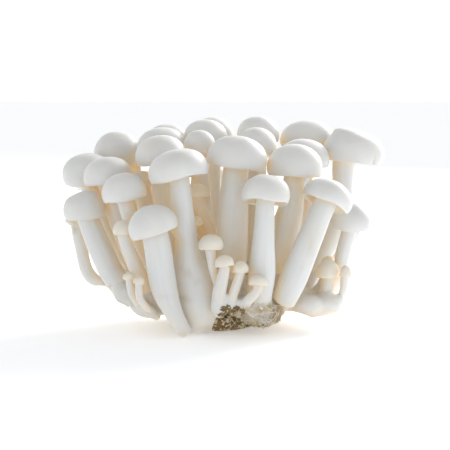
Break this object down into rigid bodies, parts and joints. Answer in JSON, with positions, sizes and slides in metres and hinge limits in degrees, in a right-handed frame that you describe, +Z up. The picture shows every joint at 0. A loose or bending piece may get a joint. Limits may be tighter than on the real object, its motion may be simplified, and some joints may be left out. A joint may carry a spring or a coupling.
{
  "type": "beech mushroom cluster",
  "caption": "Cluster of white beech mushrooms with domed caps on club-shaped stems, fused at the foot, standing on the piece of sawdust block it was broken off with.",
  "frame": {"origin": "middle of the flat underside of the sawdust block that the cluster stands on", "axes": "+Z up, +X to the right of the side that the picture shows, which is also the cluster's width, +Y to the back"},
  "size_m": [0.1199, 0.1005, 0.076],
  "materials": {
    "flesh": null,
    "mycelium": "matt, felted white mycelium (paper stands in for it)",
    "sawdust": "matt, crumbly sawdust with white threads"
  },
  "bodies": {
    "root": {"mushroom_01": "flesh", "mushroom_02": "flesh", "mushroom_03": "flesh", "mushroom_04": "flesh", "mushroom_05": "flesh", "mushroom_06": "flesh", "mushroom_07": "flesh", "mushroom_08": "flesh", "mushroom_09": "flesh", "mushroom_10": "flesh", "mushroom_11": "flesh", "mushroom_12": "flesh", "mushroom_13": "flesh", "mushroom_14": "flesh", "mushroom_15": "flesh", "mushroom_16": "flesh", "mushroom_17": "flesh", "mushroom_18": "flesh", "mushroom_19": "flesh", "mushroom_20": "flesh", "mushroom_21": "flesh", "mushroom_22": "flesh", "mushroom_23": "flesh", "mushroom_24": "flesh", "mushroom_25": "flesh", "mushroom_26": "flesh", "mushroom_27": "flesh", "mushroom_28": "flesh", "mushroom_29": "flesh", "mushroom_30": "flesh", "mushroom_31": "flesh", "button_01": "flesh", "button_02": "flesh", "button_03": "flesh", "button_04": "flesh", "button_05": "flesh", "button_06": "flesh", "button_07": "flesh", "button_08": "flesh", "button_09": "flesh", "button_10": "flesh", "button_11": "flesh", "button_12": "flesh", "button_13": "flesh", "button_14": "flesh", "button_15": "flesh", "button_16": "flesh", "button_17": "flesh", "button_18": "flesh", "button_19": "flesh", "button_20": "flesh", "torn_stem": "flesh", "stem_foot": "mycelium", "sawdust_block": "sawdust"}
  },
  "joints": []
}
